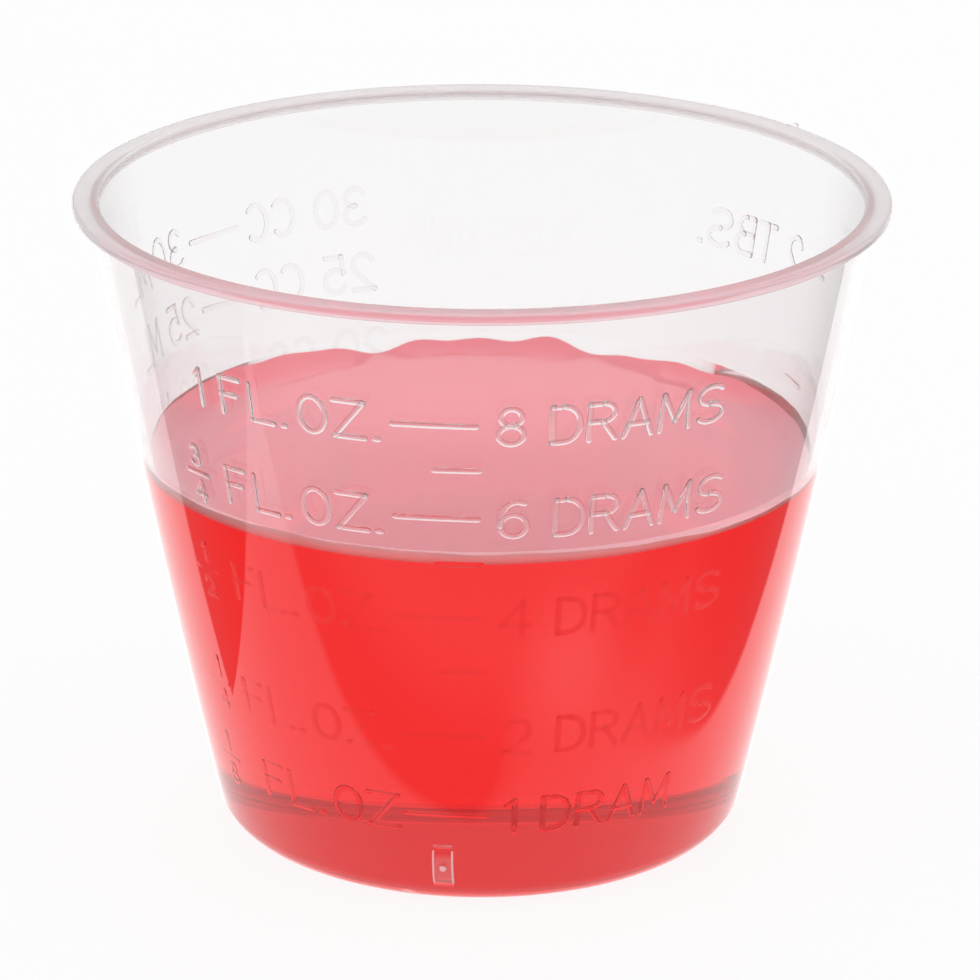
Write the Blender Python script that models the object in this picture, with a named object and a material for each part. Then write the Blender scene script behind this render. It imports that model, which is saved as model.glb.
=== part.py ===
"""Medicine cup, moulded in one piece, with a measured dose of red liquid in it.

Metres, +Z up. The origin is the centre of the foot, on the surface that the cup stands on.
"""
import math

import bmesh
import bpy
from mathutils import Matrix, Vector

# The cup's outside
CUP_HEIGHT = 0.0375          # foot to the top of the rim
FOOT_RADIUS = 0.0151         # outer wall, carried down to the foot
MOUTH_RADIUS = 0.0223        # outer wall, at the top of the rim
WALL_BOW = 0.00027           # how far the wall swells outwards at half height
FOOT_ROUND = 0.0018          # rounding between wall and foot

# Its section
WALL = 0.0006
FLOOR = 0.0005
FLOOR_ROUND = 0.0010         # rounding between floor and inner wall
FOOT_RECESS = 0.0003         # how far the floor's underside stands off the table
FOOT_LAND = 0.0008           # width of the flat ring that the cup stands on
RECESS_ROUND = 0.00015

# The rolled rim
RIM_REACH = 0.00088          # how far the rim stands out from the wall
RIM_THICKNESS = 0.00056
RIM_ROUND = 0.0002
RIM_FILLET = 0.00015         # between the rim's underside and the wall
LIP_ROUND = 0.0002           # between the rim's top and the inner wall

# Stacking ribs, low on the outer wall
RIB_COUNT = 3
RIB_WIDTH = 0.0012
RIB_LENGTH = 0.0028
RIB_RISE = 0.0012            # from the foot to the rib's lower end
RIB_PROUD = 0.0002
RIB_ROOT = WALL / 2          # how far its root goes into the wall
RIB_ANGLE = math.radians(-97.5)

# The dose
LIQUID_LEVEL = 0.0217        # height of its flat surface
CREEP_RISE = 0.0011          # how far its edge creeps up the wall above that
CREEP_WIDTH = 0.0022         # how far from the wall the surface starts to rise
LIQUID_GAP = 0.0003          # between the dose and the plastic round it

SEGMENTS = 96                # sides of each turned form
WALL_STEPS = 9               # rows of faces up the bowed wall
ARC_STEPS = 4                # faces round each rounded edge


def clear_scene():
    for old in list(bpy.data.objects):
        bpy.data.objects.remove(old, do_unlink=True)


def plastic(name, colour, roughness, alpha=1.0, transmission=0.0):
    material = bpy.data.materials.new(name)
    material.use_nodes = True
    shader = material.node_tree.nodes["Principled BSDF"]
    shader.inputs["Base Color"].default_value = (*colour, 1.0)
    shader.inputs["Roughness"].default_value = roughness
    shader.inputs["Metallic"].default_value = 0.0
    shader.inputs["Transmission Weight"].default_value = transmission
    shader.inputs["Alpha"].default_value = alpha
    return material


def outer_radius(z):
    """Radius of the outer wall at a height, with the wall's slight bow."""
    up = z / CUP_HEIGHT
    straight = FOOT_RADIUS + (MOUTH_RADIUS - FOOT_RADIUS) * up
    return straight + 4 * WALL_BOW * up * (1 - up)


def wall_slope(z):
    """Angle of the outer wall from the vertical at a height."""
    rate = (MOUTH_RADIUS - FOOT_RADIUS + 4 * WALL_BOW * (1 - 2 * z / CUP_HEIGHT)) / CUP_HEIGHT
    return math.atan(rate)


def inner_radius(z, gap=0.0):
    return outer_radius(z) - (WALL + gap) / math.cos(wall_slope(z))


def arc(centre, radius, start, end, steps=ARC_STEPS, height=None):
    """Points (r, z) on an arc in the section, angles in radians from +R towards +Z.

    With a height of its own, the arc belongs to an ellipse.
    """
    rise = radius if height is None else height
    turns = [start + (end - start) * i / steps for i in range(steps + 1)]
    return [(centre[0] + radius * math.cos(a), centre[1] + rise * math.sin(a)) for a in turns]


def wall_run(radius_at, low, high):
    """Points up a bowed wall, without its two ends."""
    heights = [low + (high - low) * i / WALL_STEPS for i in range(1, WALL_STEPS)]
    return [(radius_at(z), z) for z in heights]


def corner_round(radius_at, floor_z, radius):
    """Arc that rounds a floor into the wall above it, from the floor up."""
    slope = wall_slope(floor_z + radius)
    centre_z = floor_z + radius
    centre_r = radius_at(centre_z) - radius / math.cos(slope)
    return arc((centre_r, centre_z), radius, -math.pi / 2, -slope)


def foot_profile():
    """Underside of the cup, from the axis out to the outer wall."""
    heel = corner_round(outer_radius, 0.0, FOOT_ROUND)
    land_inner = heel[0][0] - FOOT_LAND
    recess = arc((land_inner - RECESS_ROUND, FOOT_RECESS - RECESS_ROUND), RECESS_ROUND,
                 math.pi / 2, 0.0, ARC_STEPS // 2)
    return [(0.0, FOOT_RECESS)] + recess + [(land_inner, 0.0)] + heel


def rim_profile():
    """The rim, from the outer wall under it over its top to the inner wall."""
    under = CUP_HEIGHT - RIM_THICKNESS
    edge = MOUTH_RADIUS + RIM_REACH
    fillet_r = outer_radius(under - RIM_FILLET) + RIM_FILLET
    fillet = arc((fillet_r, under - RIM_FILLET), RIM_FILLET, math.pi, math.pi / 2, ARC_STEPS // 2)
    lower = arc((edge - RIM_ROUND, under + RIM_ROUND), RIM_ROUND, -math.pi / 2, 0.0)
    upper = arc((edge - RIM_ROUND, CUP_HEIGHT - RIM_ROUND), RIM_ROUND, 0.0, math.pi / 2)
    lip_z = CUP_HEIGHT - LIP_ROUND
    lip = arc((inner_radius(lip_z) + LIP_ROUND, lip_z), LIP_ROUND, math.pi / 2, math.pi)
    return fillet + lower + upper + lip


def cup_profile():
    foot = foot_profile()
    rim = rim_profile()
    floor_z = FOOT_RECESS + FLOOR
    basin = corner_round(inner_radius, floor_z, FLOOR_ROUND)
    outside = wall_run(outer_radius, foot[-1][1], rim[0][1])
    inside = wall_run(inner_radius, basin[-1][1], rim[-1][1])
    return foot + outside + rim + inside[::-1] + basin[::-1] + [(0.0, floor_z)]


def liquid_profile():
    floor_z = FOOT_RECESS + FLOOR + LIQUID_GAP
    edge_z = LIQUID_LEVEL + CREEP_RISE

    def side(z):
        return inner_radius(z, LIQUID_GAP)

    basin = corner_round(side, floor_z, FLOOR_ROUND)
    creep = arc((side(edge_z) - CREEP_WIDTH, edge_z), CREEP_WIDTH, 0.0, -math.pi / 2, height=CREEP_RISE)
    return [(0.0, floor_z)] + basin + wall_run(side, basin[-1][1], edge_z) + creep + [(0.0, LIQUID_LEVEL)]


def turn(name, profile, material):
    """Spin a section about the Z axis into one closed body."""
    mesh = bpy.data.meshes.new(name)
    form = bmesh.new()
    points = [form.verts.new((r, 0.0, z)) for r, z in profile]
    edges = [form.edges.new(pair) for pair in zip(points, points[1:])]
    bmesh.ops.spin(form, geom=points + edges, cent=(0, 0, 0), axis=(0, 0, 1),
                   angle=math.tau, steps=SEGMENTS, use_merge=True)
    bmesh.ops.remove_doubles(form, verts=form.verts, dist=1e-6)
    bmesh.ops.recalc_face_normals(form, faces=form.faces)
    form.to_mesh(mesh)
    form.free()
    mesh.shade_smooth()
    mesh.set_sharp_from_angle(angle=math.radians(40))
    body = bpy.data.objects.new(name, mesh)
    body.data.materials.append(material)
    bpy.context.collection.objects.link(body)
    return body


def rib_pad(form):
    """One stacking rib: a bar laid up the wall, with its root sunk into the plastic."""
    middle_z = RIB_RISE + RIB_LENGTH / 2
    depth = RIB_ROOT + RIB_PROUD
    bar = bmesh.ops.create_cube(form, size=1.0)["verts"]
    bmesh.ops.scale(form, verts=bar, vec=(depth, RIB_WIDTH, RIB_LENGTH))
    bmesh.ops.translate(form, verts=bar, vec=(RIB_PROUD - depth / 2, 0, 0))
    crest = [edge for edge in form.edges if all(end.co.x > 0 for end in edge.verts)]
    bmesh.ops.bevel(form, geom=crest, offset=RIB_PROUD / 2, segments=2, profile=0.5, affect="EDGES")
    place = (Matrix.Rotation(RIB_ANGLE, 4, "Z")
             @ Matrix.Translation(Vector((outer_radius(middle_z), 0, middle_z)))
             @ Matrix.Rotation(wall_slope(middle_z), 4, "Y"))
    bmesh.ops.transform(form, matrix=place, verts=form.verts)


def add_ribs(cup):
    form = bmesh.new()
    rib_pad(form)
    first = form.verts[:] + form.edges[:] + form.faces[:]
    for i in range(1, RIB_COUNT):
        copy = bmesh.ops.duplicate(form, geom=first)["geom"]
        corners = [item for item in copy if isinstance(item, bmesh.types.BMVert)]
        turned = Matrix.Rotation(math.tau * i / RIB_COUNT, 3, "Z")
        bmesh.ops.rotate(form, verts=corners, cent=(0, 0, 0), matrix=turned)
    mesh = bpy.data.meshes.new("stacking_ribs")
    form.to_mesh(mesh)
    form.free()
    ribs = bpy.data.objects.new("stacking_ribs", mesh)
    bpy.context.collection.objects.link(ribs)
    ribs.hide_render = True
    ribs.display_type = "WIRE"
    union = cup.modifiers.new("ribs", "BOOLEAN")
    union.operation = "UNION"
    union.solver = "EXACT"
    union.object = ribs


def main():
    clear_scene()
    clear_plastic = plastic("clear_polypropylene", (0.93, 0.94, 0.94), 0.25, alpha=0.35, transmission=0.9)
    red_syrup = plastic("red_syrup", (0.83, 0.03, 0.04), 0.05, transmission=0.6)
    cup = turn("cup", cup_profile(), clear_plastic)
    add_ribs(cup)
    turn("liquid", liquid_profile(), red_syrup)


main()
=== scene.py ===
import math

import bpy
from mathutils import Matrix, Quaternion, Vector


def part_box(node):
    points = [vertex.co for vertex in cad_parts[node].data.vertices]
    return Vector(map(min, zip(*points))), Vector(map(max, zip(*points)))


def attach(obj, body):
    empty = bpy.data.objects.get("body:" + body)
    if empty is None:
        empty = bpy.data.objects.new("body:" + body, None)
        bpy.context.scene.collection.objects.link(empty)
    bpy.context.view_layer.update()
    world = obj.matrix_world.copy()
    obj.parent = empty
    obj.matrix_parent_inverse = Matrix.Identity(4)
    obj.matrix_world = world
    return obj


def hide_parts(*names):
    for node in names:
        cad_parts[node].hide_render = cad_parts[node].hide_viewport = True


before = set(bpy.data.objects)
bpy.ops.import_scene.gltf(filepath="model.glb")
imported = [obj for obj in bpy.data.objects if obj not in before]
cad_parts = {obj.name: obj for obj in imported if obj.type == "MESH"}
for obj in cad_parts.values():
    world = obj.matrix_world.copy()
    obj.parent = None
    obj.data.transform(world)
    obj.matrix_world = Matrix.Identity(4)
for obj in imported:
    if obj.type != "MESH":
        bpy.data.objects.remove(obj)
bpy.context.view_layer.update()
print("frame loaded")


def deselectAll():
    if bpy.context.mode != "OBJECT":
        bpy.ops.object.mode_set(mode="OBJECT")
    bpy.ops.object.select_all(action="DESELECT")


def selectOnly(*pieces):
    deselectAll()
    for piece in pieces:
        piece.select_set(True)
    bpy.context.view_layer.objects.active = pieces[0]


# Turned forms. A section is a list of (radius, height) points
cuts = {   # how many faces each rounding and each run of wall has
    "heel": 12, "recess": 5, "fillet": 5, "rim": 6, "lip": 6, "basin": 8, "creep": 12,
    "outside": 24, "dry": 10, "wet": 14, "side": 18,
}


def arcPoints(centre, radius, start, end, steps, stretch=1.0):
    turns = [math.radians(start + (end - start) * i / steps) for i in range(steps + 1)]
    return [(centre[0] + radius * math.cos(a), centre[1] + stretch * radius * math.sin(a)) for a in turns]


def turnSection(name, section, sides):
    # drawn point by point in edit mode, then spun round the Z axis
    deselectAll()
    bpy.ops.mesh.primitive_plane_add(size=0.001, location=(0, 0, 0))
    piece = bpy.context.active_object
    piece.name = name
    bpy.ops.object.mode_set(mode="EDIT")
    bpy.ops.mesh.merge(type="CENTER")
    bpy.ops.transform.translate(value=(section[0][0], 0, section[0][1]))
    for here, there in zip(section, section[1:]):
        step = (there[0] - here[0], 0, there[1] - here[1])
        bpy.ops.mesh.extrude_vertices_move(TRANSFORM_OT_translate={"value": step})
    bpy.ops.mesh.select_all(action="SELECT")
    bpy.ops.mesh.spin(steps=sides, angle=math.tau, center=(0, 0, 0), axis=(0, 0, 1))
    bpy.ops.mesh.select_all(action="SELECT")
    bpy.ops.mesh.remove_doubles(threshold=1e-6)
    bpy.ops.mesh.normals_make_consistent(inside=False)
    bpy.ops.object.mode_set(mode="OBJECT")
    bpy.ops.object.shade_smooth_by_angle(angle=math.radians(35))
    return piece


# The dose of liquid, whose surface creeps up the wall at its edge
liquid = {
    "contact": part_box("liquid")[1][2] + 0.0002,   # height to which it wets the wall
    "creep": 0.0011,                     # how far that is above its flat surface
    "creepWidth": 0.0022,
    "creepStart": 30,                    # degrees that its surface stands off the wall's own line
    "letIn": 0.0003,                     # into the plastic, so that no air shows between them
    "shoulder": 0.0008,                  # below the edge, where it starts to come out of the plastic
    "ripple": 0.0013,                    # how far the far edge sags between its high places
    "waves": [(7, 0.22, 0.6), (16, 0.16, 2.0), (27, 0.12, 0.0)],   # how many go round, height, start
    "waveMiddle": 0.5,
    "nearShare": 0.15,                   # of the waves that is left at the near side
    "lean": 0.0005,                      # how much lower it stands on the +X side
    "sides": 288,
}

# The cup
cup = {
    "footRadius": 0.0151,      # outer wall, carried down to the table
    "mouthRadius": 0.0223,     # outer wall, at the top
    "bow": 0.00027,
    "wall": 0.0006,
    "floor": 0.0005,
    "floorRound": 0.0010,
    "recess": 0.0003,          # height of the floor's underside
    "recessRound": 0.00015,
    "landWidth": 0.0008,
    "footRound": 0.0018,
    "heel": 0.0009,            # up to this height the foot is painted red, as light from the dose
    "rimThickness": 0.00056,
    "rimRound": 0.00022,
    "lipRound": 0.00024,
    "filletRound": 0.0002,
    "sides": 288,
}
# a small nick in the heel
nick = {"azimuth": -106.0, "height": 0.0006, "inset": 0.0006, "reach": 0.00055, "depth": 0.00025}
cup["height"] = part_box("cup")[1][2]
cup["rimRadius"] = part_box("cup")[1][0]


def outerRadius(z):
    up = z / cup["height"]
    straight = cup["footRadius"] + (cup["mouthRadius"] - cup["footRadius"]) * up
    return straight + 4 * cup["bow"] * up * (1 - up)


def wallSlope(z):
    # radians from the vertical
    rise = cup["mouthRadius"] - cup["footRadius"] + 4 * cup["bow"] * (1 - 2 * z / cup["height"])
    return math.atan(rise / cup["height"])


def innerRadius(z, letIn=0.0):
    return outerRadius(z) - (cup["wall"] - letIn) / math.cos(wallSlope(z))


def wallRun(radiusAt, start, end, steps):
    heights = [start + (end - start) * i / steps for i in range(1, steps)]
    return [(radiusAt(z), z) for z in heights]


def cornerRound(radiusAt, floorZ, radius, steps):
    middle = floorZ + radius
    slope = wallSlope(middle)
    centre = (radiusAt(middle) - radius / math.cos(slope), middle)
    return arcPoints(centre, radius, -90, -math.degrees(slope), steps)


def footSection():
    heel = cornerRound(outerRadius, 0.0, cup["footRound"], cuts["heel"])
    landInner = heel[0][0] - cup["landWidth"]
    recess, recessRound = cup["recess"], cup["recessRound"]
    corner = arcPoints((landInner - recessRound, recess - recessRound), recessRound, 90, 0, cuts["recess"])
    return [(0.0, recess), (landInner * 0.5, recess)] + corner + [(landInner, 0.0)] + heel


def rimSection():
    top, edge = cup["height"], cup["rimRadius"]
    under = top - cup["rimThickness"]
    fillet, rimRound, lipRound = cup["filletRound"], cup["rimRound"], cup["lipRound"]
    inner = arcPoints((outerRadius(under - fillet) + fillet, under - fillet), fillet, 180, 90, cuts["fillet"])
    lower = arcPoints((edge - rimRound, under + rimRound), rimRound, -90, 0, cuts["rim"])
    upper = arcPoints((edge - rimRound, top - rimRound), rimRound, 0, 90, cuts["rim"])
    lipZ = top - lipRound
    lip = arcPoints((innerRadius(lipZ) + lipRound, lipZ), lipRound, 90, 180, cuts["lip"])
    return inner + lower + upper + lip


def cupSection():
    foot, rim = footSection(), rimSection()
    floorZ = cup["recess"] + cup["floor"]
    basin = cornerRound(innerRadius, floorZ, cup["floorRound"], cuts["basin"])
    contact = liquid["contact"]
    outside = wallRun(outerRadius, foot[-1][1], rim[0][1], cuts["outside"])
    dry = wallRun(innerRadius, rim[-1][1], contact, cuts["dry"]) + [(innerRadius(contact), contact)]
    wet = wallRun(innerRadius, contact, basin[-1][1], cuts["wet"])
    return foot + outside + rim + dry + wet + basin[::-1] + [(basin[0][0] * 0.5, floorZ), (0.0, floorZ)]


def partOfCup(face):
    # 0 the outside, 1 the dry inner wall, 2 what the dose wets, 3 the rim, 4 the heel
    radius, z = math.hypot(face.center.x, face.center.y), face.center.z
    if z > cup["height"] - cup["rimThickness"] - cup["filletRound"]:
        return 3
    if z > cup["recess"] + 0.5 * cup["floor"] and radius < outerRadius(z) - 0.8 * cup["wall"]:
        return 1 if z > liquid["contact"] else 2
    return 4 if z < cup["heel"] and radius > cup["footRadius"] - cup["footRound"] - cup["landWidth"] else 0


def nickFoot(shell):
    # as if the heel had been knocked
    turn = math.radians(nick["azimuth"])
    place = Vector((math.cos(turn), math.sin(turn), 0)) * (outerRadius(nick["height"]) - nick["inset"])
    place = place + Vector((0, 0, nick["height"]))
    for corner in shell.data.vertices:
        away = (corner.co - place).length / nick["reach"]
        if away < 1:
            inward = Vector((corner.co.x, corner.co.y, 0)).normalized()
            corner.co -= inward * nick["depth"] * (1 - away * away) ** 2


def finishCup(shell, *finishes):
    for material in finishes:
        shell.data.materials.append(material)
    for face in shell.data.polygons:
        face.material_index = partOfCup(face)


def liquidSection():
    letIn, creep, width = liquid["letIn"], liquid["creep"], liquid["creepWidth"]
    contact = liquid["contact"]
    floorZ = cup["recess"] + cup["floor"] - letIn

    def sideRadius(z):
        return innerRadius(z, letIn)

    basin = cornerRound(sideRadius, floorZ, cup["floorRound"], cuts["basin"])
    shoulder = contact - liquid["shoulder"]
    side = wallRun(sideRadius, basin[-1][1], shoulder, cuts["side"]) + [(sideRadius(shoulder), shoulder)]
    start = math.radians(liquid["creepStart"])
    reach = width / math.cos(start)
    rise = creep / (1 - math.sin(start))
    centre = (innerRadius(contact) - width, contact + rise * math.sin(start))
    creepCurve = arcPoints(centre, reach, -liquid["creepStart"], -90, cuts["creep"], rise / reach)
    surface = [(creepCurve[-1][0] * k, contact - creep) for k in (0.9, 0.75, 0.5, 0.25, 0.0)]
    return [(0.0, floorZ), (basin[0][0] * 0.5, floorZ)] + basin + side + creepCurve + surface


def rippleEdge(dose):
    # the edge wanders up and down the wall, most at the far side
    level = liquid["contact"] - liquid["creep"]
    near = liquid["nearShare"]
    for corner in dose.data.vertices:
        share = (corner.co.z - level) / liquid["creep"]
        if share < 0.001:
            continue
        radius = math.hypot(corner.co.x, corner.co.y)
        around = math.atan2(corner.co.y, corner.co.x)
        waves = [high * math.sin(count * around + start) for count, high, start in liquid["waves"]]
        wave = sum(waves, liquid["waveMiddle"])
        far = near + (1 - near) * max(math.sin(around), 0) ** 4
        sag = share * (liquid["ripple"] * wave * far + liquid["lean"] * max(math.cos(around), 0))
        low = corner.co.z - sag
        shrink = (radius + outerRadius(low) - outerRadius(corner.co.z)) / radius
        corner.co = (corner.co.x * shrink, corner.co.y * shrink, low)


def splitDose(dose, body, surface):
    # the free surface mirrors the room, the rest lies against plastic
    dose.data.materials.append(body)
    dose.data.materials.append(surface)
    slack = 0.00002   # past the wall's own line
    for face in dose.data.polygons:
        radius, z = math.hypot(face.center.x, face.center.y), face.center.z
        free = face.normal.z > 0.2 and z > cup["height"] / 3 and radius < innerRadius(z) + slack
        face.material_index = 1 if free else 0


# Materials
white, black = (1, 1, 1, 1), (0, 0, 0, 1)


def newMaterial(name):
    material = bpy.data.materials.new(name)
    material.use_nodes = True
    nodes, links = material.node_tree.nodes, material.node_tree.links
    return material, nodes, links, nodes["Principled BSDF"], nodes["Material Output"]


def mathOf(nodes, links, operation, *values):
    step = nodes.new("ShaderNodeMath")
    step.operation = operation
    step.use_clamp = len(values) == 2   # two shares make a share, kept from 0 to 1
    for socket, value in zip(step.inputs, values):
        if isinstance(value, float):
            socket.default_value = value
        else:
            links.new(value, socket)
    return step.outputs["Value"]


def softStep(nodes, links, value, start, end):
    step = nodes.new("ShaderNodeMapRange")
    step.interpolation_type = "SMOOTHSTEP"
    for title, limit in (("From Min", start), ("From Max", end)):
        if isinstance(limit, float):
            step.inputs[title].default_value = limit
        else:
            links.new(limit, step.inputs[title])
    links.new(value, step.inputs["Value"])
    return step.outputs["Result"]


def mixColour(nodes, links, factor, before, after, blend="MIX"):
    mix = nodes.new("ShaderNodeMix")
    mix.data_type = "RGBA"
    mix.blend_type = blend
    links.new(factor, mix.inputs["Factor"])
    ends = [socket for socket in mix.inputs if socket.type == "RGBA"]
    for socket, value in zip(ends, (before, after)):
        if isinstance(value, tuple):
            socket.default_value = value
        else:
            links.new(value, socket)
    return [socket for socket in mix.outputs if socket.type == "RGBA"][0]


def newGroup(name, inputs, outputs):
    group = bpy.data.node_groups.new(name, "ShaderNodeTree")
    for title, kind in inputs:
        group.interface.new_socket(title, in_out="INPUT", socket_type=kind)
    for title, kind in outputs:
        group.interface.new_socket(title, in_out="OUTPUT", socket_type=kind)
    nodes = group.nodes
    return group, nodes, group.links, nodes.new("NodeGroupInput"), nodes.new("NodeGroupOutput")


def placeGroup(nodes, group, **values):
    node = nodes.new("ShaderNodeGroup")
    node.node_tree = group
    for title, value in values.items():
        node.inputs[title].default_value = value
    return node


# Painted red light from the dose on the plastic over it: on the side of the ounce scale, and more so low down
doseLightPaint = {
    "lowEdge": 0.0006,      # below the edge of the dose, where the painted red light starts
    "overRim": 0.004,       # above the rim, where it would be gone
    "highShare": 0.45,      # of the painted red light that is left at least
}


def paintDoseLight():
    inputs = [("Clear", "NodeSocketColor"), ("Tinted", "NodeSocketColor"),
              ("Start", "NodeSocketFloat"), ("Full", "NodeSocketFloat")]   # along Y, from none of the painted red light to all of it
    group, nodes, links, enter, leave = newGroup("paintDoseLight", inputs, [("Colour", "NodeSocketColor")])
    place = nodes.new("ShaderNodeSeparateXYZ")
    links.new(nodes.new("ShaderNodeTexCoord").outputs["Object"], place.inputs[0])
    front = softStep(nodes, links, place.outputs["Y"], enter.outputs["Start"], enter.outputs["Full"])
    edge = liquid["contact"]
    above = softStep(nodes, links, place.outputs["Z"], edge - doseLightPaint["lowEdge"], edge)
    fade = softStep(nodes, links, place.outputs["Z"], cup["height"] + doseLightPaint["overRim"], edge)
    share = mathOf(nodes, links, "MAXIMUM", fade, doseLightPaint["highShare"])
    mask = mathOf(nodes, links, "MULTIPLY", mathOf(nodes, links, "MULTIPLY", front, above), share)
    colour = mixColour(nodes, links, mask, enter.outputs["Clear"], enter.outputs["Tinted"])
    links.new(colour, leave.inputs["Colour"])
    return group


def mouldFlow():
    # slow waves that the moulding leaves in a surface, drawn out along the flow of the plastic
    inputs = [("Size", "NodeSocketFloat"), ("Stretch", "NodeSocketFloat")]
    group, nodes, links, enter, leave = newGroup("mouldFlow", inputs, [("Height", "NodeSocketFloat")])
    squeeze = nodes.new("ShaderNodeCombineXYZ")
    links.new(enter.outputs["Size"], squeeze.inputs["X"])
    links.new(enter.outputs["Size"], squeeze.inputs["Y"])
    slow = nodes.new("ShaderNodeMath")
    slow.operation = "MULTIPLY"
    links.new(enter.outputs["Size"], slow.inputs[0])
    links.new(enter.outputs["Stretch"], slow.inputs[1])
    links.new(slow.outputs["Value"], squeeze.inputs["Z"])
    scaled = nodes.new("ShaderNodeVectorMath")
    scaled.operation = "MULTIPLY"
    links.new(nodes.new("ShaderNodeTexCoord").outputs["Object"], scaled.inputs[0])
    links.new(squeeze.outputs["Vector"], scaled.inputs[1])
    wave = nodes.new("ShaderNodeTexNoise")
    wave.inputs["Scale"].default_value = 1.0
    wave.inputs["Detail"].default_value = 1.0
    links.new(scaled.outputs["Vector"], wave.inputs["Vector"])
    links.new(wave.outputs["Fac"], leave.inputs["Height"])
    return group


def addWaves(nodes, links, shader, size, stretch, depth):
    waves = placeGroup(nodes, flowGroup, Size=size, Stretch=stretch)
    bump = nodes.new("ShaderNodeBump")
    bump.inputs["Distance"].default_value = depth
    links.new(waves.outputs["Height"], bump.inputs["Height"])
    links.new(bump.outputs["Normal"], shader.inputs["Normal"])


def letLampsThrough(nodes, links, shader, output, tint):
    # lamp light passes straight through, so that a clear piece throws a pale shadow
    path = nodes.new("ShaderNodeLightPath")
    clear = nodes.new("ShaderNodeBsdfTransparent")
    clear.inputs["Color"].default_value = tint
    mix = nodes.new("ShaderNodeMixShader")
    links.new(path.outputs["Is Shadow Ray"], mix.inputs["Fac"])
    links.new(shader.outputs["BSDF"], mix.inputs[1])
    links.new(clear.outputs["BSDF"], mix.inputs[2])
    links.new(mix.outputs["Shader"], output.inputs["Surface"])


plastic = {
    "clear": (0.965, 0.965, 0.965, 1),
    "redLit": (0.965, 0.89, 0.9, 1),     # painted red light, over the front of the dose
    "redLightStart": 0.004, "redLightFull": -0.010,
    "edge": (0.8, 0.78, 0.78, 1),        # where the wall is seen edge on, and so through more plastic
    "edgeFrom": (0.5, 0.85),
    "bends": 1.49,                       # how strongly it refracts
    "waveSize": 260.0,                   # waves to the metre
    "waveStretch": 0.45,                 # share of that along Z
    "waveDepth": 0.00001,
    "lampTint": (0.96, 0.96, 0.96, 1),   # of the lamp light that goes through
}
rimLook = {
    # the rim's front is painted red, as light from the dose
    "clear": (0.92, 0.88, 0.885, 1), "redLit": (1.0, 0.36, 0.46, 1),
    "redLightStart": -0.006, "redLightFull": -0.018,
    "transmission": 0.6, "roughness": 0.25,
}
footLook = {   # painted red light: as if the dose above lit it red all round
    "clear": (0.97, 0.5, 0.52, 1), "redLit": (0.97, 0.5, 0.52, 1),
    "redLightStart": 0.004, "redLightFull": -0.010,
}


def plasticFinish(name, transmission=1.0, roughness=0.0, specular=white, look=plastic,
                  bends=plastic["bends"]):
    material, nodes, links, shader, output = newMaterial(name)
    # the plastic's colour with the dose's red light painted in
    tint = placeGroup(nodes, doseLightGroup, Clear=look["clear"], Tinted=look["redLit"],
                      Start=look["redLightStart"], Full=look["redLightFull"])
    view = nodes.new("ShaderNodeLayerWeight")
    view.inputs["Blend"].default_value = 0.5
    edgeOn = softStep(nodes, links, view.outputs["Facing"], *plastic["edgeFrom"])
    colour = mixColour(nodes, links, edgeOn, tint.outputs["Colour"], plastic["edge"], "MULTIPLY")
    links.new(colour, shader.inputs["Base Color"])
    shader.inputs["Roughness"].default_value = roughness
    shader.inputs["IOR"].default_value = bends
    shader.inputs["Transmission Weight"].default_value = transmission
    shader.inputs["Specular Tint"].default_value = specular
    addWaves(nodes, links, shader, plastic["waveSize"], plastic["waveStretch"], plastic["waveDepth"])
    letLampsThrough(nodes, links, shader, output, plastic["lampTint"])
    return material


syrup = {
    "skin": (0.93, 0.285, 0.37, 1),       # a thin cloudy layer on the free surface
    "frontShadedSkin": (0.76, 0.205, 0.27, 1),  # painted darker nearer the ounce scale, as shade
    "skinFrom": (0.008, -0.003),          # along Y, from the one to the other
    "sideLitSkin": (1.0, 0.3, 0.38, 1),      # and painted lighter towards the two sides, as light
    "sideFrom": (0.005, 0.014),           # along X
    "skinShare": 0.6,
    "sheen": (0.9, 0.93, 1.0, 1),         # of the free surface
    "bends": 1.38,                        # how strongly that refracts
    "waveSize": 180.0, "waveStretch": 1.0, "waveDepth": 0.00001,
    "absorbs": (1.0, 0.0, 0.02, 1),
    "density": 180.0,
    "lampTint": (1.0, 0.55, 0.55, 1),
}


def syrupFinish(name, specular, bends, cloud=0.0):
    material, nodes, links, shader, output = newMaterial(name)
    shader.inputs["Base Color"].default_value = white
    shader.inputs["Roughness"].default_value = 0.0
    shader.inputs["IOR"].default_value = bends
    shader.inputs["Transmission Weight"].default_value = 1.0 - cloud
    shader.inputs["Specular Tint"].default_value = specular
    if cloud:
        place = nodes.new("ShaderNodeSeparateXYZ")
        links.new(nodes.new("ShaderNodeTexCoord").outputs["Object"], place.inputs[0])
        # the skin is painted darker towards the front and lighter towards the sides, as shade and light
        front = softStep(nodes, links, place.outputs["Y"], *syrup["skinFrom"])
        colour = mixColour(nodes, links, front, syrup["skin"], syrup["frontShadedSkin"])
        aside = mathOf(nodes, links, "ABSOLUTE", place.outputs["X"])
        side = softStep(nodes, links, aside, *syrup["sideFrom"])
        colour = mixColour(nodes, links, side, colour, syrup["sideLitSkin"])
        below = nodes.new("ShaderNodeNewGeometry").outputs["Backfacing"]
        links.new(mixColour(nodes, links, below, colour, white), shader.inputs["Base Color"])
    addWaves(nodes, links, shader, syrup["waveSize"], syrup["waveStretch"], syrup["waveDepth"])
    letLampsThrough(nodes, links, shader, output, syrup["lampTint"])
    depth = nodes.new("ShaderNodeVolumeAbsorption")
    depth.inputs["Color"].default_value = syrup["absorbs"]
    depth.inputs["Density"].default_value = syrup["density"]
    links.new(depth.outputs["Volume"], output.inputs["Volume"])
    return material


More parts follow.
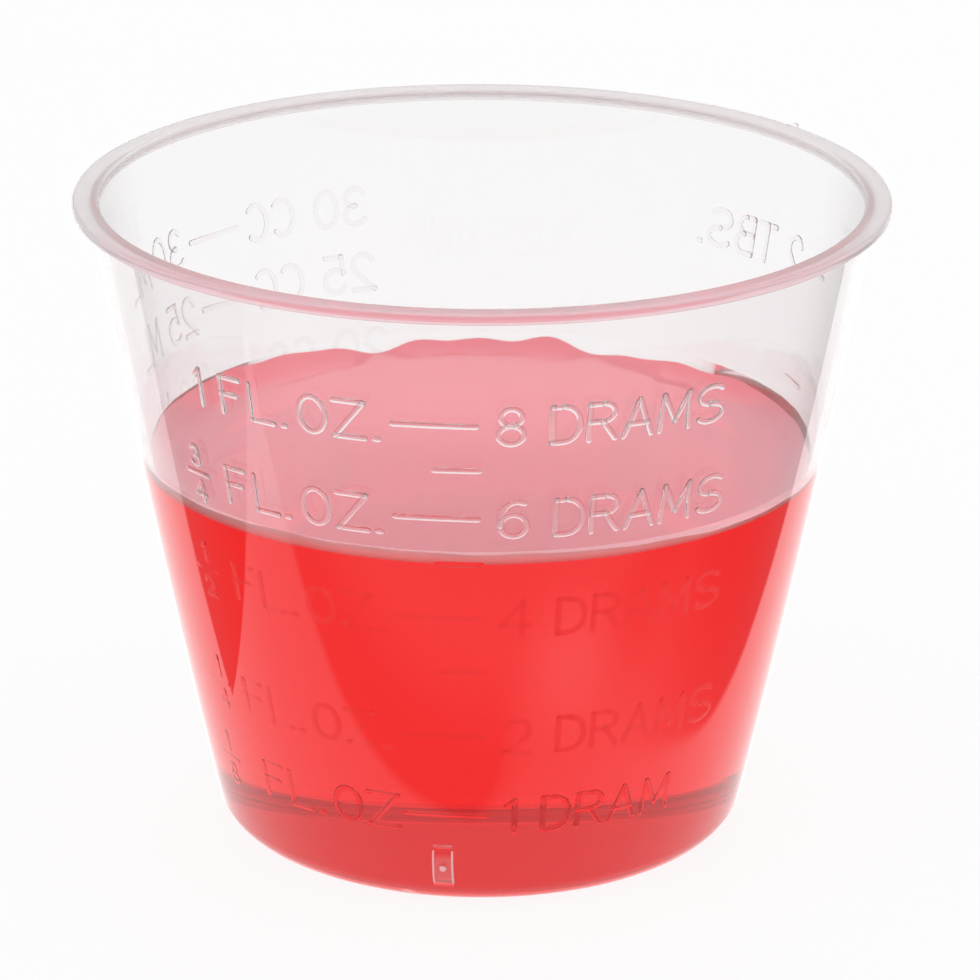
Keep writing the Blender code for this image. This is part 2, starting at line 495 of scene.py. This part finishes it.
doseLightGroup = paintDoseLight()
flowGroup = mouldFlow()
clearPlastic = plasticFinish("clearPlastic")
mistedPlastic = plasticFinish("mistedPlastic", transmission=0.92, roughness=0.03)
wetPlastic = plasticFinish("wetPlastic", specular=black, bends=1.0)   # light goes straight on into the dose
rimPlastic = plasticFinish("rimPlastic", rimLook["transmission"], rimLook["roughness"], look=rimLook)
scuffedPlastic = plasticFinish("scuffedPlastic", transmission=0.55, roughness=0.2)
wornPlastic = plasticFinish("wornPlastic", transmission=0.88, roughness=0.12)
drownedPlastic = plasticFinish("drownedPlastic", specular=black)   # marks that the dose behind them hides
# the heel, painted red as light from the dose
footRedLit = plasticFinish("footRedLit", look=footLook)

cupShell = turnSection("cupShell", cupSection(), cup["sides"])
nickFoot(cupShell)
finishCup(cupShell, clearPlastic, mistedPlastic, wetPlastic, rimPlastic, footRedLit)
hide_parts("cup")
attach(cupShell, "root")
print("cup turned")


# Stacking ribs low on the wall, as in the model, each with a small pip in its middle
ribs = {
    "count": 3,
    "azimuth": -97.5,
    "width": 0.0012,
    "low": 0.0012,            # height of the lower end
    "length": 0.0028,
    "proud": 0.0002,
    "root": 0.00012,          # how deep it goes into the wall
    "runOut": 0.0008,         # at each end, where it runs out into the wall
    "sunk": 0.00004,          # how far it is inside the wall there
    "cuts": 9,
    "edgeRound": 0.00012,
    "pip": 0.0002,            # radius of the pip
    "pipProud": 0.0001,
}
# What is left of the gate that the plastic came in by, on the rim
gate = {
    "azimuth": 38.0, "radius": 0.00026, "length": 0.0006, "root": 0.00015,
    "squash": 0.8, "edgeRound": 0.00008,
}


def roundEdges(piece, width):
    bevel = piece.modifiers.new("edges", "BEVEL")
    bevel.width = width
    bevel.segments = 4
    selectOnly(piece)
    bpy.ops.object.modifier_apply(modifier="edges")
    bpy.ops.object.shade_smooth_by_angle(angle=math.radians(50))


def ribBar(azimuth):
    deselectAll()
    bpy.ops.mesh.primitive_cube_add(size=1.0, location=(0, 0, 0))
    bar = bpy.context.active_object
    depth = ribs["root"] + ribs["proud"]
    bpy.ops.object.mode_set(mode="EDIT")
    bpy.ops.transform.resize(value=(depth, ribs["width"], ribs["length"]))
    bpy.ops.transform.translate(value=(ribs["proud"] - depth / 2, 0, 0))
    bpy.ops.mesh.subdivide(number_cuts=ribs["cuts"])
    bpy.ops.object.mode_set(mode="OBJECT")
    roundEdges(bar, ribs["edgeRound"])
    for corner in bar.data.vertices:
        end = max(0.0, (abs(corner.co.z) - ribs["length"] / 2 + ribs["runOut"]) / ribs["runOut"])
        if corner.co.x > 0:
            corner.co.x -= (ribs["proud"] + ribs["sunk"]) * end * end * (3 - 2 * end)
    bpy.ops.object.mode_set(mode="EDIT")
    bpy.ops.mesh.select_all(action="DESELECT")
    top = (ribs["proud"], 0, 0)
    bpy.ops.mesh.primitive_uv_sphere_add(segments=24, ring_count=12, radius=ribs["pip"], location=top)
    bpy.ops.transform.resize(value=(ribs["pipProud"] / ribs["pip"], 1, 1), center_override=top)
    bpy.ops.object.mode_set(mode="OBJECT")
    middle = ribs["low"] + ribs["length"] / 2
    turn = Matrix.Rotation(math.radians(azimuth), 4, "Z")
    lean = Matrix.Rotation(wallSlope(middle), 4, "Y")
    scuffEdges(bar)
    bar.data.transform(turn @ Matrix.Translation((outerRadius(middle), 0, middle)) @ lean)
    return bar


def scuffEdges(bar):
    # nested cups rub the long edges and the pip pale
    bar.data.materials.append(clearPlastic)
    bar.data.materials.append(scuffedPlastic)
    for face in bar.data.polygons:
        onEnd = abs(face.center.z) > ribs["length"] / 2 - ribs["edgeRound"]
        flank = abs(face.center.y) > ribs["width"] / 2 - ribs["edgeRound"] and not onEnd
        pip = face.center.yz.length < ribs["pip"] and face.center.x > ribs["proud"] + 0.00001
        face.material_index = 1 if face.center.x > 0 and (flank or pip) else 0


def gateStub():
    deselectAll()
    whole = gate["length"] + gate["root"]
    bpy.ops.mesh.primitive_cylinder_add(vertices=20, radius=gate["radius"], depth=whole)
    stub = bpy.context.active_object
    bpy.ops.object.mode_set(mode="EDIT")
    bpy.ops.transform.resize(value=(1, gate["squash"], 1))
    bpy.ops.object.mode_set(mode="OBJECT")
    roundEdges(stub, gate["edgeRound"])
    middle = cup["rimRadius"] + (gate["length"] - gate["root"]) / 2
    turn = Matrix.Rotation(math.radians(gate["azimuth"]), 4, "Z")
    out = Matrix.Translation((middle, 0, cup["height"] - cup["rimThickness"] / 2))
    stub.data.transform(turn @ out @ Matrix.Rotation(math.radians(90), 4, "Y"))
    return stub


def fixToCup(name, pieces):
    for piece in pieces:
        if not piece.data.materials:
            piece.data.materials.append(clearPlastic)
    selectOnly(*pieces)
    if len(pieces) > 1:
        bpy.ops.object.join()
    whole = bpy.context.active_object
    whole.name = name
    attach(whole, "root")
    print(name, "made,", len(whole.data.polygons), "faces")


fixToCup("stackingRibs", [ribBar(ribs["azimuth"] + 360 * i / ribs["count"]) for i in range(ribs["count"])])
fixToCup("gateStub", [gateStub()])

dose = turnSection("redDose", liquidSection(), liquid["sides"])
rippleEdge(dose)
splitDose(dose, syrupFinish("redSyrup", black, 1.0),
          syrupFinish("syrupSurface", syrup["sheen"], syrup["bends"], syrup["skinShare"]))
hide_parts("liquid")
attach(dose, "root")
print("dose poured")


# Raised scales
scale = {
    "stroke": 0.00018,          # half the width of a raised line
    "tip": 0.12,                # of that at a line's very end
    "endRound": 0.7,            # of it where the end starts to round, this share of it further in
    "bendStep": 22,             # degrees of a curve to one step
    "corner": 0.7,              # radians that make a corner sharp
    "sink": 0.00002,            # of its underside into the wall
    "crest": 0.00005,           # what stands further off the wall than this is worn pale
    "grid": 6,                  # height of a letter, in grid units
    "gap": 1.45,                # between letters, in grid units
    "bigLetter": 0.00215,
    "smallLetter": 0.00115,
    "fractionBar": 0.0009,      # half its length
    "fractionRise": 0.95,       # of a small letter, from the bar to the middle of each number
}


def bend(x, y, wide, tall, start, end):
    steps = max(3, round(abs(end - start) / scale["bendStep"]))
    turns = [math.radians(start + (end - start) * i / steps) for i in range(steps + 1)]
    return [(x + wide * math.cos(a), y + tall * math.sin(a)) for a in turns]


# a letter is drawn on the grid: its width, then its strokes
letters = {
    "0": (4.0, [bend(2, 3, 2, 3, 90, 450)]),
    "1": (1.3, [[(0.1, 4.8), (1.2, 6), (1.2, 0)]]),
    "2": (3.9, [bend(1.95, 4.2, 1.85, 1.8, 165, -42) + [(0.1, 0), (3.9, 0)]]),
    "3": (3.8, [bend(1.8, 4.5, 1.6, 1.5, 150, -90), bend(1.8, 1.55, 1.9, 1.55, 90, -150)]),
    "4": (4.2, [[(3.1, 0), (3.1, 6), (0, 1.8), (4.2, 1.8)]]),
    "5": (3.8, [[(3.5, 6), (0.6, 6), (0.3, 3.3)], bend(1.85, 1.95, 1.95, 1.95, 140, -145)]),
    "6": (4.0, [bend(2.5, 3, 2.5, 3, 65, 180) + bend(2, 1.9, 2, 1.9, 180, 540)]),
    "8": (3.7, [bend(1.9, 4.55, 1.55, 1.45, -90, 270), bend(1.9, 1.55, 1.9, 1.55, 90, 450)]),
    "A": (4.5, [[(0, 0), (2.25, 6), (4.5, 0)], [(0.75, 2), (3.75, 2)]]),
    "B": (3.9, [[(0, 0), (0, 6), (2, 6)], bend(2, 4.6, 1.5, 1.4, 90, -90) + [(0, 3.2)],
                bend(2.2, 1.6, 1.7, 1.6, 90, -90) + [(0, 0)]]),
    "C": (4.0, [bend(2.2, 3, 2.2, 3, 48, 312)]),
    "D": (4.2, [[(0, 0), (0, 6), (1.7, 6)], bend(1.7, 3, 2.5, 3, 90, -90) + [(0, 0)]]),
    "F": (4.3, [[(0, 0), (0, 6), (3.9, 6)], [(0, 3.2), (3.1, 3.2)]]),
    "L": (4.1, [[(0, 6), (0, 0), (4.1, 0)]]),
    "M": (5.1, [[(0, 0), (0.4, 6), (2.55, 1.4), (4.7, 6), (5.1, 0)]]),
    "O": (4.4, [bend(2.2, 3, 2.2, 3, 90, 450)]),
    "R": (4.1, [[(0, 0), (0, 6), (2.2, 6)], bend(2.2, 4.5, 1.7, 1.5, 90, -90) + [(0, 3)],
                [(2.1, 3), (4.1, 0)]]),
    "S": (4.9, [bend(2.45, 4.5, 2.25, 1.5, 35, 270), bend(2.45, 1.5, 2.45, 1.5, 90, -145)]),
    "T": (4.2, [[(0, 6), (4.2, 6)], [(2.1, 6), (2.1, 0)]]),
    "Z": (4.8, [[(0, 6), (4.8, 6), (0, 0), (4.8, 0)]]),
    ".": (1.8, [[(0.1, 0.1), (0.7, 0.1)]]),
    " ": (1.5, []),
}


def wordStrokes(text, height):
    # strokes in metres from the word's lower left corner, and the word's width
    unit = height / scale["grid"]
    strokes, along = [], 0.0
    for letter in text:
        width, lines = letters[letter]
        strokes += [[((along + x) * unit, y * unit) for x, y in line] for line in lines]
        along += width + scale["gap"]
    return strokes, (along - scale["gap"]) * unit


def splitAtCorners(line):
    # a sharp corner is where two raised lines meet
    runs, run = [], [line[0]]
    for before, here, after in zip(line, line[1:], line[2:]):
        run.append(here)
        ahead = math.atan2(after[1] - here[1], after[0] - here[0])
        behind = math.atan2(here[1] - before[1], here[0] - before[0])
        if abs((ahead - behind + math.pi) % math.tau - math.pi) > scale["corner"]:
            runs.append(run)
            run = [here]
    return runs + [run + [line[-1]]]


def addBead(curve, run):
    # one raised line with rounded ends
    bead, tip, share = scale["stroke"], scale["tip"], scale["endRound"]
    first, last = Vector(run[0]), Vector(run[-1])
    closed = (first - last).length < 1e-7
    points = [(Vector(p), 1.0) for p in (run[:-1] if closed else run)]
    if not closed:
        back = (first - Vector(run[1])).normalized() * bead
        on = (last - Vector(run[-2])).normalized() * bead
        points = [(first + back, tip), (first + share * back, share)] + points
        points += [(last + share * on, share), (last + on, tip)]
    spline = curve.splines.new("POLY")
    spline.points.add(len(points) - 1)
    for corner, (place, radius) in zip(spline.points, points):
        corner.co = (place.x, place.y, 0, 1)
        corner.radius = radius
    spline.use_cyclic_u = closed


def raiseOnWall(name, strokes, azimuth, height, proud, finish):
    # beads drawn flat, made a mesh, then laid on the outer wall with their undersides flattened
    curve = bpy.data.curves.new(name, "CURVE")
    curve.dimensions = "3D"
    curve.bevel_depth = scale["stroke"]
    curve.bevel_resolution = 2
    curve.use_fill_caps = True
    for line in strokes:
        for run in splitAtCorners(line):
            addBead(curve, run)
    flat = bpy.data.objects.new(name, curve)
    bpy.context.scene.collection.objects.link(flat)
    selectOnly(flat)
    bpy.ops.object.convert(target="MESH")
    raised = bpy.context.active_object
    radius = outerRadius(height)
    for corner in raised.data.vertices:
        x, y, lift = corner.co
        lift = max(lift * proud / scale["stroke"], -scale["sink"])
        slope = wallSlope(height + y)
        z = height + y * math.cos(slope)
        out = outerRadius(z) + lift * math.cos(slope)
        around = math.radians(azimuth) + x / radius
        corner.co = (out * math.cos(around), out * math.sin(around), z - lift * math.sin(slope))
    raised.data.materials.append(finish)
    raised.data.materials.append(wornPlastic)
    for face in raised.data.polygons:
        crest = math.hypot(face.center.x, face.center.y) - outerRadius(face.center.z) > scale["crest"]
        face.material_index = 1 if crest else 0
    return raised


def placedWord(text, height, x, y, side=0):
    # side -1 ends the word at x, 0 centres it, 1 starts it there; y is the middle of the letters
    strokes, width = wordStrokes(text, height)
    left, low = x - width * (1 - side) / 2, y - height / 2
    return [[(a + left, b + low) for a, b in line] for line in strokes]


def flatDash(start, end):
    return [[(start, 0), (end, 0)]]


def fraction(top, bottom, x):
    small, reach = scale["smallLetter"], scale["fractionBar"]
    rise = small * scale["fractionRise"]
    numbers = placedWord(top, small, x, rise) + placedWord(bottom, small, x, -rise)
    return numbers + flatDash(x - reach, x + reach)


# Each row of a scale is its height, the words left of its dash and those right of it
ounceScale = {
    "azimuth": -97.0,
    "proud": 0.00008, "lowProud": 0.000007,   # how far it stands off the wall, over and under the dose's edge
    "drowned": True,                          # its low rows show only as faint shadows
    "dash": (-0.0022, 0.0023),
    "shortDash": (0.0, 0.0024),
    "leftEnd": -0.0026,
    "rightStart": 0.0035,
    "fractionAt": -0.0153,
    "rows": [
        (0.0307, "1 FL.OZ.", "8 DRAMS"), (0.0251, "3/4 FL.OZ.", "6 DRAMS"),
        (0.0189, "1/2 FL.OZ.", "4 DRAMS"), (0.0113, "1/4 FL.OZ.", "2 DRAMS"),
        (0.0061, "1/8 FL.OZ", "1 DRAM"),
    ],
    "ticks": [0.02805, 0.0223, 0.0155],
}
metricScale = {
    "azimuth": 140.5,
    "proud": 0.000024, "lowProud": 0.000005,
    "drowned": False,
    "dash": (-0.0021, 0.0021),
    "leftEnd": -0.0030,
    "rightStart": 0.0030,
    "rows": [
        (0.0307, "30 CC", "30 ML"), (0.0267, "25 CC", "25 ML"), (0.0223, "20 CC", "20 ML"),
        (0.0175, "15 CC", "15 ML"), (0.0128, "10 CC", "10 ML"), (0.0072, "5 CC", "5 ML"),
    ],
    "ticks": [],
}
spoonScale = {
    "azimuth": 18.5,
    "proud": 0.000024, "lowProud": 0.000005,
    "drowned": False,
    "dash": (-0.0018, 0.0018),
    "shortDash": (-0.0012, 0.0012),
    "rightStart": 0.0026,
    "rows": [(0.0307, "", "2 TBS."), (0.0175, "", "1 TBS.")],
    "ticks": [0.0240, 0.0107],
}


def standOff(marks, height):
    # how far a row stands off the wall, and its finish
    if height > liquid["contact"]:
        return marks["proud"], clearPlastic
    return marks["lowProud"], (drownedPlastic if marks["drowned"] else clearPlastic)


def rowStrokes(marks, left, right):
    strokes = flatDash(*marks["dash"])
    if "/" in left:
        top, rest = left.split("/")
        bottom, left = rest.split(" ", 1)
        strokes += fraction(top, bottom, marks["fractionAt"])
    if left:
        strokes += placedWord(left, scale["bigLetter"], marks["leftEnd"], 0, -1)
    return strokes + placedWord(right, scale["bigLetter"], marks["rightStart"], 0, 1)


def raiseScale(name, marks):
    rows = [(height, rowStrokes(marks, left, right)) for height, left, right in marks["rows"]]
    rows += [(height, flatDash(*marks["shortDash"])) for height in marks["ticks"]]
    pieces = [raiseOnWall(name, strokes, marks["azimuth"], height, *standOff(marks, height))
              for height, strokes in rows]
    for piece in pieces:
        selectOnly(piece)
        bpy.ops.object.mode_set(mode="EDIT")
        bpy.ops.mesh.select_all(action="SELECT")
        bpy.ops.mesh.normals_make_consistent(inside=False)
        bpy.ops.object.mode_set(mode="OBJECT")
        bpy.ops.object.shade_smooth_by_angle(angle=math.radians(50))
    fixToCup(name, pieces)


raiseScale("ounceMarks", ounceScale)
raiseScale("metricMarks", metricScale)
raiseScale("spoonMarks", spoonScale)


# Stage: floor, room and lamps
stage = {
    "floorSide": 4.0,
    "floorDrop": 0.00003,                # air under the foot, as under any cup on a table
    "floorColour": (0.86, 0.86, 0.86, 1),
    "floorRoughness": 0.6,
    "plainShare": 0.9,                   # of the floor's white, the rest takes light and shadow
    "roomStrength": 0.95,                # that lights the floor and the mist
    "darkWay": (0, -0.8, 0.6),           # the cup mirrors a dimmer room this way
    "darkFrom": (0.1, 0.9), "darkLevel": (0.5, 0.5, 0.51, 1),
    "lampAim": (0, 0, 0.02),
}

# What the cup's wall mirrors of the floor: shadows to its left and right, less light in front,
# and in that a pool of light that the cup itself gathers. Two numbers are a soft edge's start and end
floorShade = {
    "near": 1.4,
    "front": (0.68, 1.1), "frontFacing": (0.0965, -0.9953, 0),
    "frontFrom": (0.0208, 0.0222), "frontRise": (0.0245, 0.0375),
    "softSide": (-0.0014, 0.0072), "softReach": 0.012,
    "pool": 0.93, "poolPlace": (0.0146, -0.0284, 0), "poolReach": 0.0138,
    "leftShadow": 0.36, "leftApex": (-0.028, -0.0016, 0),
    "leftHeading": 178.5, "leftSpread": (0.80, 0.83),
    "rightShadow": 0.28, "rightHeading": 12.5, "rightSpread": (0.35, 1.06),
    "rightFrom": (0.0242, 0.027),
    "rightFacing": (0.788, -0.616, 0), "rightEdge": (0.0236, 0.0248),
}


def blendLevel(nodes, links, before, after, factor):
    mix = nodes.new("ShaderNodeMix")
    for socket, value in ((mix.inputs["A"], before), (mix.inputs["B"], after)):
        if isinstance(value, float):
            socket.default_value = value
        else:
            links.new(value, socket)
    links.new(factor, mix.inputs["Factor"])
    return mix.outputs["Result"]


def vectorOf(nodes, links, operation, place, other=None):
    step = nodes.new("ShaderNodeVectorMath")
    step.operation = operation
    if other is not None:
        step.inputs[1].default_value = other
    links.new(place, step.inputs[0])
    return step.outputs["Vector" if operation in ("NORMALIZE", "SUBTRACT") else "Value"]


def facing(nodes, links, place, direction):
    return vectorOf(nodes, links, "DOT_PRODUCT", place, direction)


def shadowFan(nodes, links, place, heading, spread):
    turn = math.radians(heading)
    away = vectorOf(nodes, links, "NORMALIZE", place)
    return softStep(nodes, links, facing(nodes, links, away, (math.cos(turn), math.sin(turn), 0)), *spread)


def mirroredFloor(nodes, links):
    shade = floorShade
    place = nodes.new("ShaderNodeTexCoord").outputs["Object"]
    forward = facing(nodes, links, place, shade["frontFacing"])
    front = blendLevel(nodes, links, *shade["front"], softStep(nodes, links, forward, *shade["frontRise"]))
    pool = vectorOf(nodes, links, "DISTANCE", place, shade["poolPlace"])
    pool = softStep(nodes, links, pool, shade["poolReach"], 0.0)
    front = mathOf(nodes, links, "MULTIPLY_ADD", pool, shade["pool"], front)
    softSide = softStep(nodes, links, facing(nodes, links, place, (1, 0, 0)), *shade["softSide"])
    start, end = shade["frontFrom"]
    end = mathOf(nodes, links, "MULTIPLY_ADD", softSide, shade["softReach"], end)
    level = blendLevel(nodes, links, shade["near"], front, softStep(nodes, links, forward, start, end))
    right = shadowFan(nodes, links, place, shade["rightHeading"], shade["rightSpread"])
    away = softStep(nodes, links, vectorOf(nodes, links, "LENGTH", place), *shade["rightFrom"])
    aside = softStep(nodes, links, facing(nodes, links, place, shade["rightFacing"]), *shade["rightEdge"])
    right = mathOf(nodes, links, "MULTIPLY", mathOf(nodes, links, "MULTIPLY", right, away), aside)
    level = blendLevel(nodes, links, level, shade["rightShadow"], right)
    left = shadowFan(nodes, links, vectorOf(nodes, links, "SUBTRACT", place, shade["leftApex"]),
                     shade["leftHeading"], shade["leftSpread"])
    return blendLevel(nodes, links, level, shade["leftShadow"], left)


def rayKinds(nodes, links):
    # a ray that plastic lets through counts as glossy too, so what is only mirrored leaves it out
    path = nodes.new("ShaderNodeLightPath")
    camera, glossy = path.outputs["Is Camera Ray"], path.outputs["Is Glossy Ray"]
    through = path.outputs["Is Transmission Ray"]
    mirrored = mathOf(nodes, links, "SUBTRACT", glossy, through)
    seen = mathOf(nodes, links, "ADD", mathOf(nodes, links, "ADD", camera, through), glossy)
    return seen, mirrored


def floorFinish():
    # the plain white that the camera sees, here and through the plastic, over one that takes shadow
    material, nodes, links, shader, output = newMaterial("paleFloor")
    shader.inputs["Base Color"].default_value = stage["floorColour"]
    shader.inputs["Roughness"].default_value = stage["floorRoughness"]
    seen, mirrored = rayKinds(nodes, links)
    plain = nodes.new("ShaderNodeEmission")
    links.new(blendLevel(nodes, links, 1.0, mirroredFloor(nodes, links), mirrored), plain.inputs["Strength"])
    share = mathOf(nodes, links, "MULTIPLY", seen, stage["plainShare"])
    share = mathOf(nodes, links, "MAXIMUM", share, mirrored)
    mix = nodes.new("ShaderNodeMixShader")
    links.new(share, mix.inputs["Fac"])
    links.new(shader.outputs["BSDF"], mix.inputs[1])
    links.new(plain.outputs["Emission"], mix.inputs[2])
    links.new(mix.outputs["Shader"], output.inputs["Surface"])
    return material


def layFloor():
    deselectAll()
    bpy.ops.mesh.primitive_plane_add(size=stage["floorSide"], location=(0, 0, -stage["floorDrop"]))
    floor = bpy.context.active_object
    floor.name = "paleFloor"
    floor.data.materials.append(floorFinish())


def lightRoom():
    # soft light for the floor and the mist, plain white behind the cup, and a dimmer side to mirror
    world = bpy.context.scene.world or bpy.data.worlds.new("studio")
    bpy.context.scene.world = world
    world.use_nodes = True
    nodes, links = world.node_tree.nodes, world.node_tree.links
    nodes.clear()
    output = nodes.new("ShaderNodeOutputWorld")
    room = nodes.new("ShaderNodeBackground")
    room.inputs["Strength"].default_value = stage["roomStrength"]
    backdrop = nodes.new("ShaderNodeBackground")
    seen, mirrored = rayKinds(nodes, links)
    way = Vector(stage["darkWay"]).normalized()
    toward = facing(nodes, links, nodes.new("ShaderNodeTexCoord").outputs["Generated"], way)
    dim = mathOf(nodes, links, "MULTIPLY", softStep(nodes, links, toward, *stage["darkFrom"]), mirrored)
    links.new(mixColour(nodes, links, dim, white, stage["darkLevel"]), backdrop.inputs["Color"])
    mix = nodes.new("ShaderNodeMixShader")
    links.new(seen, mix.inputs["Fac"])
    links.new(room.outputs["Background"], mix.inputs[1])
    links.new(backdrop.outputs["Background"], mix.inputs[2])
    links.new(mix.outputs["Shader"], output.inputs["Surface"])


lamps = [   # name, place, side, watts
    ("keyLamp", (-0.35, -0.25, 0.5), 0.35, 0.7),
    ("fillLamp", (0.4, -0.1, 0.4), 0.35, 0.4),
    ("backLamp", (0.1, 0.5, 0.45), 0.4, 0.5),
]


def hangLamps():
    for name, place, side, power in lamps:
        data = bpy.data.lights.new(name, "AREA")
        data.size = side
        data.energy = power
        lamp = bpy.data.objects.new(name, data)
        lamp.location = place
        lamp.visible_glossy = lamp.visible_transmission = False   # their square edges would show in the dose
        lamp.rotation_euler = (Vector(stage["lampAim"]) - Vector(place)).to_track_quat("-Z", "Y").to_euler()
        bpy.context.scene.collection.objects.link(lamp)


layFloor()
lightRoom()
hangLamps()
print("stage lit")


# Camera, from the photograph
view = {
    "place": Vector((0, -0.257912, 0.113506)),
    "aim": Vector((0, 0, 0.0174)),
    "roll": math.radians(0.212),
    "lens": 173.97, "sensor": 36,
    "shift": (0.00922, 0.03381),
}
cameraData = bpy.data.cameras.new("camera")
cameraData.lens = view["lens"]
cameraData.sensor_width = view["sensor"]
cameraData.shift_x, cameraData.shift_y = view["shift"]
cameraData.clip_start = 0.01
camera = bpy.data.objects.new("camera", cameraData)
bpy.context.scene.collection.objects.link(camera)
camera.location = view["place"]
turn = (view["aim"] - view["place"]).to_track_quat("-Z", "Y") @ Quaternion((0, 0, 1), view["roll"])
camera.rotation_euler = turn.to_euler()
bpy.context.scene.camera = camera
bpy.context.scene.view_settings.view_transform = "Standard"
cycles = bpy.context.scene.cycles   # light crosses many walls here
cycles.max_bounces = 64
cycles.transmission_bounces = 48
cycles.glossy_bounces = 48
